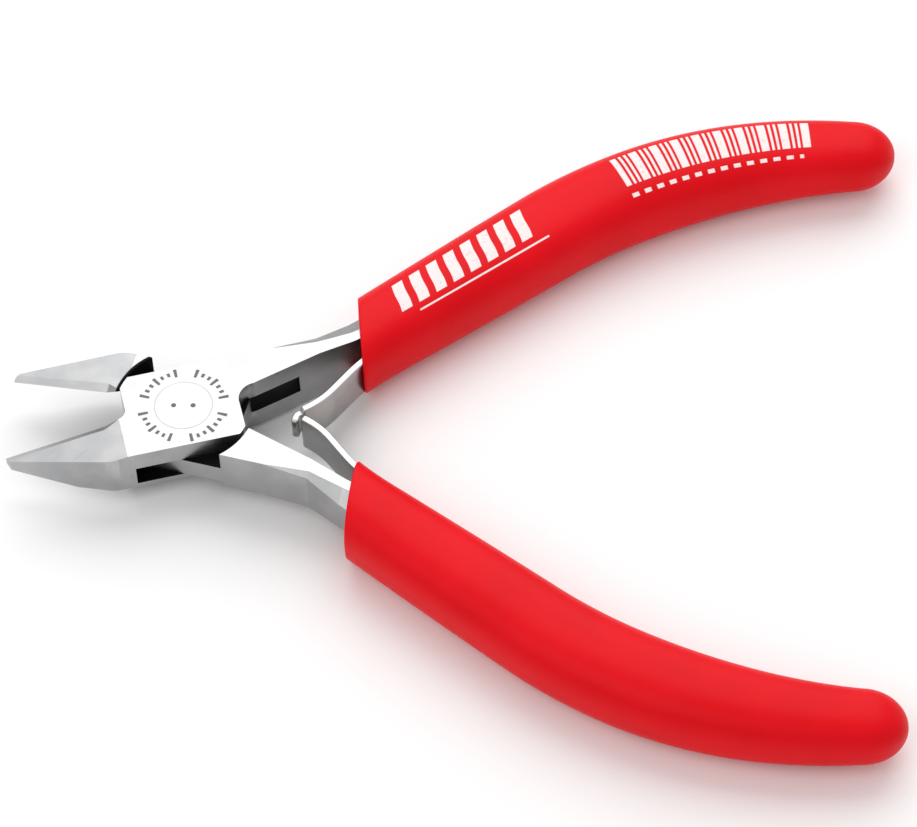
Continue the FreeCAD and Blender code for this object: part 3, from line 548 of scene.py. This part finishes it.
def printed_marks(finish, along, around):
    """Generic print: a band of slanted bars with a rule under it, then a ruled band over small dashes."""
    soft = 0.00006
    turn = 0.0008
    lean, bar_pitch, fine_pitch, wide_pitch, dash_pitch = 0.012, 0.0024, 0.00062, 0.00248, 0.00165
    leaning = along + around * lean
    bars = (leaning / bar_pitch).math("FRACT").within(0.2, 0.8, 0.02)
    band = leaning.within(0.0093, 0.0284, soft) * around.within(0.19, 0.292, turn) * bars
    rule = along.within(0.0085, 0.0265, soft) * around.within(0.318, 0.326, turn)
    fine = (along / fine_pitch).math("FRACT").within(0.22, 0.7, 0.08)
    wide = (along / wide_pitch).math("FRACT").within(0.3, 0.62, 0.03)
    ruled_area = along.within(0.0382, 0.0612, soft) * around.within(0.168, 0.285, turn)
    ruled = (fine * (1 - wide) + wide) * ruled_area
    dashes = (along / dash_pitch).math("FRACT").within(0.2, 0.72, 0.03)
    dashed = dashes * along.within(0.0382, 0.0602, soft) * around.within(0.318, 0.336, turn)
    return band + rule + ruled + dashed


def vinyl(name, printed):
    """Soft red vinyl: a fine moulded orange-peel, faint handling marks, and white ink where printed."""
    finish = Finish(name, IOR=1.5, Specular_IOR_Level=0.12)
    here = finish.place()
    peel = finish.grain(here, 1600, detail=2)
    clouds = finish.grain(here, 90, detail=3)
    rubs = finish.grain(here, 700, (6, 0.5, 1), 0.4, 3).step(0.62, 0.75)
    colour = finish.mix(clouds.step(0.3, 0.7), (0.72, 0.001, 0.006, 1), (0.79, 0.002, 0.009, 1))
    roughness = 0.36 + clouds * 0.12 + rubs * 0.08
    height = peel + rubs * 0.15
    if printed:
        along, around, _ = finish.parts(finish.place("UV"))
        worn = finish.grain(here, 2600, detail=3).step(0.3, 0.42) * 0.25 + 0.75
        ink = printed_marks(finish, along, around) * worn
        colour = finish.mix(ink, colour, (0.88, 0.8, 0.79, 1))
        roughness = roughness + ink * 0.1
        height = height + ink * 0.5
    return finish.wear(colour, roughness, height, 9e-6)


for label, side in (("outer", 1), ("inner", -1)):
    sleeve = sleeve_skin(f"{label}_sleeve_skin", side)
    sleeve.data.materials.append(vinyl(f"{label}_red_vinyl", printed=label == "outer"))
    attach(sleeve, label)
    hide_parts(f"{label}_sleeve")


# ---------------------------------------------------------------- floor, light and camera
# The cutter lies on a plain white sheet under one big soft light behind it and a weaker one in front,
# in an evenly lit white room.
floor_mesh = bpy.data.meshes.new("floor")
reach = 3.0
level = cad_box[0][2]
corners = [(-reach, -reach), (reach, -reach), (reach, reach), (-reach, reach)]
floor_mesh.from_pydata([(x, y, level) for x, y in corners], [], [(0, 1, 2, 3)])
floor = bpy.data.objects.new("floor", floor_mesh)
bpy.context.scene.collection.objects.link(floor)
sheet = Finish("floor_paper", Roughness=0.9)
sheet.shader.inputs["Base Color"].default_value = (0.95, 0.95, 0.95, 1)
floor_mesh.materials.append(sheet.material)

middle = Vector((0.03075, 0.00196, pivot.z))


def soft_light(name, place, width, height, energy):
    """A rectangular lamp, aimed at the middle of the cutter."""
    lamp = bpy.data.lights.new(name, "AREA")
    lamp.shape = "RECTANGLE"
    lamp.size = width
    lamp.size_y = height
    lamp.energy = energy
    holder = bpy.data.objects.new(name, lamp)
    holder.location = place
    holder.rotation_euler = (middle - holder.location).to_track_quat("-Z", "Y").to_euler()
    bpy.context.scene.collection.objects.link(holder)


soft_light("soft_light_behind", (0.07, 0.5, 0.6), 0.86, 0.7, 4.0)
soft_light("soft_light_front", (-0.35, -0.35, 0.7), 0.6, 0.6, 1.5)

room = bpy.data.worlds.new("white_room")
room.use_nodes = True
room.node_tree.nodes["Background"].inputs["Color"].default_value = (1, 1, 1, 1)
room.node_tree.nodes["Background"].inputs["Strength"].default_value = 0.6
bpy.context.scene.world = room
bpy.context.scene.view_settings.view_transform = "Standard"

azimuth, elevation, roll = math.radians(4.68), math.radians(53.2), math.radians(3.446)
back = Vector((math.sin(azimuth) * math.cos(elevation), -math.cos(azimuth) * math.cos(elevation),
               math.sin(elevation)))
right = Vector((math.cos(azimuth), math.sin(azimuth), 0))
upright = back.cross(right)
lens = bpy.data.cameras.new("camera")
lens.lens = 194.7
lens.sensor_width = 36
camera = bpy.data.objects.new("camera", lens)
distance = 0.560
camera.matrix_world = Matrix.Translation(middle + back * distance) @ Matrix((
    right * math.cos(roll) - upright * math.sin(roll),
    right * math.sin(roll) + upright * math.cos(roll),
    back)).transposed().to_4x4()
bpy.context.scene.collection.objects.link(camera)
bpy.context.scene.camera = camera
